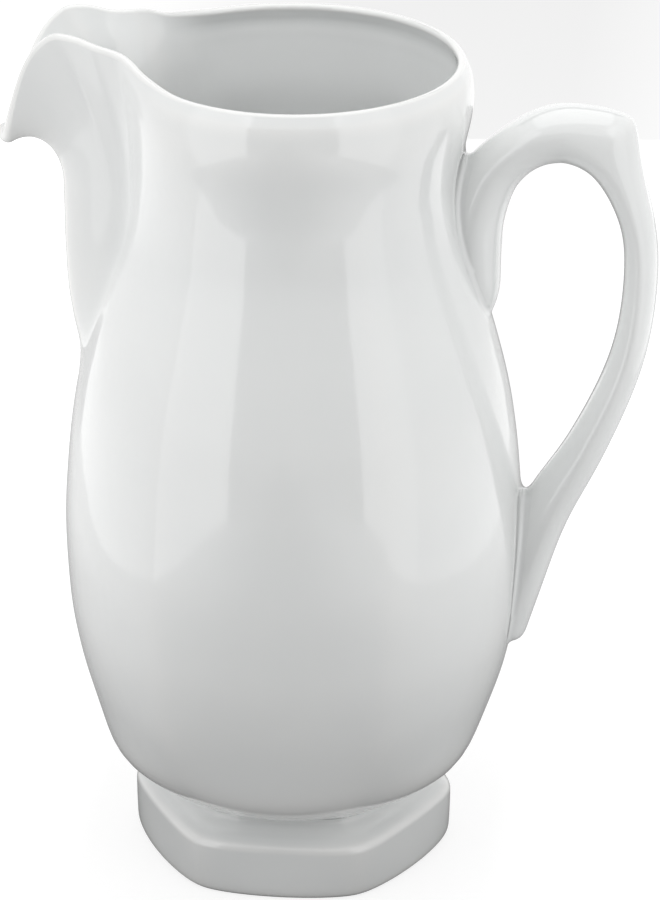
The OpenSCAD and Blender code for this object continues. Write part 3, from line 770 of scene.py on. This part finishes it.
i = np.arange(n)
points = np.concatenate([grid.reshape(-1, 3), [grid[0].mean(axis=0), grid[-1].mean(axis=0)]])
normals = np.concatenate([handle_n.reshape(-1, 3), [[0, 0, -1], [0, 0, -1]]])
# Weakened curvature of the handle: hollows get darker glaze, as glaze pooling and painted shade
pool_and_shade = np.concatenate([curvature(grid, handle_n).ravel() * 0.3, [0, 0]])
ends = [np.stack([ring_at(0, i), ring_at(0, i + 1), np.full(n, n * m)], axis=-1),
        np.stack([ring_at(m - 1, i + 1), ring_at(m - 1, i), np.full(n, n * m + 1)], axis=-1)]
piece("glazed_handle", "handle", points, normals,
      [quads(ring_at, 0, m - 1, 0, n, True)], ends, [glaze], pool_and_shade)

# ---- Slip fillets between the handle and the wall

FILLET_R = 1.7
FILLET_LEAST = 1.3
FILLET_MOST = 6.0
FILLET_SINK = 0.8
TOE_SINK = 0.015
BEAD_PULL = 0.15
FILLET_RINGS = 160
FILLET_STEPS = 14


def halve(test, inside, outside):
    """The value between two at which the test, below zero inside, crosses zero."""
    inside, outside = np.array(inside, float), np.array(outside, float)
    for _ in range(24):
        mid = (inside + outside) / 2
        under = test(mid) < 0
        inside, outside = np.where(under, mid, inside), np.where(under, outside, mid)
    return (inside + outside) / 2


def fillet(name, node, inside, outside, wall_turn):
    open_turn = 180 - wall_turn
    crotch = float(halve(lambda x: over_wall(raw_handle(x, wall_turn)), inside, outside))
    tail = float(halve(lambda x: over_wall(raw_handle(x, open_turn)), inside, outside))
    a = np.arange(FILLET_RINGS) * 360.0 / FILLET_RINGS
    s = (crotch + tail) / 2 + (crotch - tail) / 2 * np.cos(np.radians(a))
    turn = halve(lambda x: over_wall(raw_handle(s, x)), np.full(len(s), float(wall_turn)),
                 np.full(len(s), float(open_turn)))
    turn[0], turn[FILLET_RINGS // 2] = wall_turn, open_turn
    turn = np.where(a > 180, -turn, turn)
    corner = raw_handle(s, turn)
    by_place = (raw_handle(s + 0.001, turn) - raw_handle(s - 0.001, turn)) / 0.002
    by_turn = (raw_handle(s, turn + 1) - raw_handle(s, turn - 1)) / 2
    skin_n = unit(np.cross(by_place, by_turn))
    out = wall_normal(corner)
    up = unit(out - skin_n * dot(out, skin_n))
    away = unit(skin_n - out * dot(out, skin_n))
    opening = unit(up + away)
    share = dot(up, opening)
    leg = np.clip(FILLET_R * share / np.linalg.norm(up - opening * share, axis=-1, keepdims=True),
                  FILLET_LEAST, FILLET_MOST)
    e, f, g = dot(by_place, by_place), dot(by_place, by_turn), dot(by_turn, by_turn)
    reach = leg / (e * g - f * f)
    place_2 = s + (reach * (dot(up, by_place) * g - dot(up, by_turn) * f))[..., 0]
    turn_2 = turn + (reach * (dot(up, by_turn) * e - dot(up, by_place) * f))[..., 0]
    skin_2 = unit(np.cross(raw_handle(place_2 + 0.001, turn_2) - raw_handle(place_2 - 0.001, turn_2),
                           raw_handle(place_2, turn_2 + 1) - raw_handle(place_2, turn_2 - 1)))
    on_handle = raw_handle(place_2, turn_2) - TOE_SINK * skin_2
    on_body = on_wall(corner + leg * away, TOE_SINK)
    out_2 = wall_normal(on_body)
    pull = corner + BEAD_PULL * leg * opening
    t = np.linspace(0, 1, FILLET_STEPS + 1)[None, :, None]
    sections = ((1 - t) ** 2 * on_body[:, None] + 2 * t * (1 - t) * pull[:, None]
                + t * t * on_handle[:, None])
    lean = smooth(0.04, 0.96, t)
    section_n = unit((1 - lean) * out_2[:, None] + lean * skin_2[:, None])
    sunk = (corner - FILLET_SINK * opening)[:, None]
    k = FILLET_STEPS + 2
    points = np.concatenate([sections, sunk], axis=1).reshape(-1, 3)
    normals = np.concatenate([section_n, -opening[:, None]], axis=1).reshape(-1, 3)

    def turned(j, i):
        return (j % FILLET_RINGS) * k + i % k

    # The whole slip takes the darker hollow glaze and the darker slip tone: painted shade where the handle
    # meets the wall, with glaze pooling
    piece(name, node, points, normals,
          [quads(turned, 0, FILLET_RINGS, 0, k - 2)],
          [quads(turned, 0, FILLET_RINGS, k - 2, k)], [slip_glaze_painted_shade],
          np.full(len(points), -0.03))


fillet("upper_luting_slip", "upper_handle_slip", 0, 0.3, 0)
fillet("lower_luting_slip", "lower_handle_slip", HANDLE_END, 0.8, 180)

# ---- Floor, light and camera

VIEW_AZIMUTH = math.radians(5.3)
VIEW_ELEVATION = math.radians(24.8)
RIGHT = Vector((math.cos(VIEW_AZIMUTH), math.sin(VIEW_AZIMUTH), 0))
NEAR = Vector((math.sin(VIEW_AZIMUTH), -math.cos(VIEW_AZIMUTH), 0))
UP = Vector((0, 0, 1))


def floor_material():
    """Pale paper with a painted shadow, darker in a band down the middle, and washed out for the camera.
    """
    n = Nodes("pale_floor")
    place = n.add("ShaderNodeTexCoord").outputs["Object"]
    axes = n.add("ShaderNodeSeparateXYZ")
    n.wire(place, axes.inputs[0])
    aside = n.add("ShaderNodeMath", operation="ABSOLUTE")
    n.wire(axes.outputs["X"], aside.inputs[0])
    # A painted shadow: the floor's colour darkens towards the middle, where the pitcher stands
    paper_painted_shadow = n.ramp(n.spread(aside.outputs[0], 0.05, 0.2, 0.0, 1.0),
                   [(0.0, (0.3, 0.3, 0.3)), (1.0, (0.88, 0.88, 0.88))])
    diffuse = n.add("ShaderNodeBsdfDiffuse")
    n.wire(paper_painted_shadow, diffuse.inputs["Color"])
    glow = n.add("ShaderNodeEmission")
    glow.inputs["Color"].default_value = (1, 1, 1, 1)
    n.wire(n.spread(n.add("ShaderNodeLightPath").outputs["Is Camera Ray"], 0, 1, 0.0, 0.75),
           glow.inputs["Strength"])
    both = n.add("ShaderNodeAddShader")
    n.wire(diffuse.outputs["BSDF"], both.inputs[0])
    n.wire(glow.outputs["Emission"], both.inputs[1])
    out = n.add("ShaderNodeOutputMaterial")
    n.wire(both.outputs["Shader"], out.inputs["Surface"])
    return n.material


floor_mesh = bpy.data.meshes.new("floor")
FLOOR_HALF = 6.0
FLOOR_Z = -0.0001
floor_mesh.from_pydata([(-FLOOR_HALF, -FLOOR_HALF, FLOOR_Z), (FLOOR_HALF, -FLOOR_HALF, FLOOR_Z),
                        (FLOOR_HALF, FLOOR_HALF, FLOOR_Z), (-FLOOR_HALF, FLOOR_HALF, FLOOR_Z)],
                       [], [(0, 1, 2, 3)])
floor_mesh.materials.append(floor_material())
floor = bpy.data.objects.new("floor", floor_mesh)
bpy.context.scene.collection.objects.link(floor)


def place_at(u, v, z):
    return RIGHT * u + NEAR * v + UP * z


def lamp(name, centre, facing, wide, tall, radiance):
    """A soft box: an even rectangle of light."""
    data = bpy.data.lights.new(name, "AREA")
    data.shape = "RECTANGLE"
    data.size, data.size_y = wide, tall
    data.energy = radiance * math.pi * wide * tall
    thing = bpy.data.objects.new(name, data)
    thing.location = centre
    z_axis = -facing.normalized()
    x_axis = (UP if abs(z_axis.z) < 0.9 else NEAR).cross(z_axis).normalized()
    y_axis = z_axis.cross(x_axis)
    thing.rotation_euler = Matrix((x_axis, y_axis, z_axis)).transposed().to_euler()
    thing.visible_camera = False
    bpy.context.scene.collection.objects.link(thing)
    return thing


# A light tent round the pitcher, open towards the camera
TENT_U = 0.25
TENT_TALL = 0.60
TENT_TOP = 0.62
for hand, hand_name, wall_light in ((-1, "left", 1.06), (1, "right", 0.92)):
    for part, v, wide, light in (("wall", 0.3, 0.36, wall_light), ("rear", -0.065, 0.37, 0.64)):
        lamp(hand_name + "_" + part, place_at(hand * TENT_U, v, TENT_TALL / 2), -RIGHT * hand, wide,
             TENT_TALL, light)
lamp("top_sheet", place_at(0, -0.05, TENT_TOP), -UP, 0.5, 0.6, 1.3)
lamp("front_sheet", place_at(0, 0.5, TENT_TOP), -NEAR * 0.6 - UP * 0.8, 0.7, 0.45, 0.5)
lamp("back_sheet", place_at(0, -0.5, TENT_TALL / 2), NEAR, 0.9, TENT_TALL, 0.78)

# The dim room outside the tent, which the camera sees as white
world = bpy.data.worlds.new("room")
bpy.context.scene.world = world
world.use_nodes = True
tree = world.node_tree
tree.nodes.clear()
seen = tree.nodes.new("ShaderNodeBackground")
seen.inputs["Color"].default_value = (1, 1, 1, 1)
seen.inputs["Strength"].default_value = 1.0
room = tree.nodes.new("ShaderNodeBackground")
room.inputs["Color"].default_value = (1, 1, 1, 1)
room.inputs["Strength"].default_value = 0.29
path = tree.nodes.new("ShaderNodeLightPath")
choice = tree.nodes.new("ShaderNodeMixShader")
world_out = tree.nodes.new("ShaderNodeOutputWorld")
tree.links.new(path.outputs["Is Camera Ray"], choice.inputs[0])
tree.links.new(room.outputs[0], choice.inputs[1])
tree.links.new(seen.outputs[0], choice.inputs[2])
tree.links.new(choice.outputs[0], world_out.inputs["Surface"])

FAR = 1.0
ROLL = math.radians(-0.3)
AIM = UP * 0.105 + RIGHT * 0.0089
back = NEAR * math.cos(VIEW_ELEVATION) + UP * math.sin(VIEW_ELEVATION)
over = back.cross(RIGHT)
camera_data = bpy.data.cameras.new("camera")
camera_data.sensor_width = 36.0
camera_data.lens = 163.4
camera_data.clip_start, camera_data.clip_end = 0.05, 20
camera = bpy.data.objects.new("camera", camera_data)
right_axis = RIGHT * math.cos(ROLL) - over * math.sin(ROLL)
up_axis = RIGHT * math.sin(ROLL) + over * math.cos(ROLL)
turn_matrix = Matrix((right_axis, up_axis, back)).transposed().to_4x4()
camera.matrix_world = Matrix.Translation(AIM + back * FAR) @ turn_matrix
bpy.context.scene.collection.objects.link(camera)
bpy.context.scene.camera = camera
bpy.context.scene.view_settings.view_transform = "Standard"
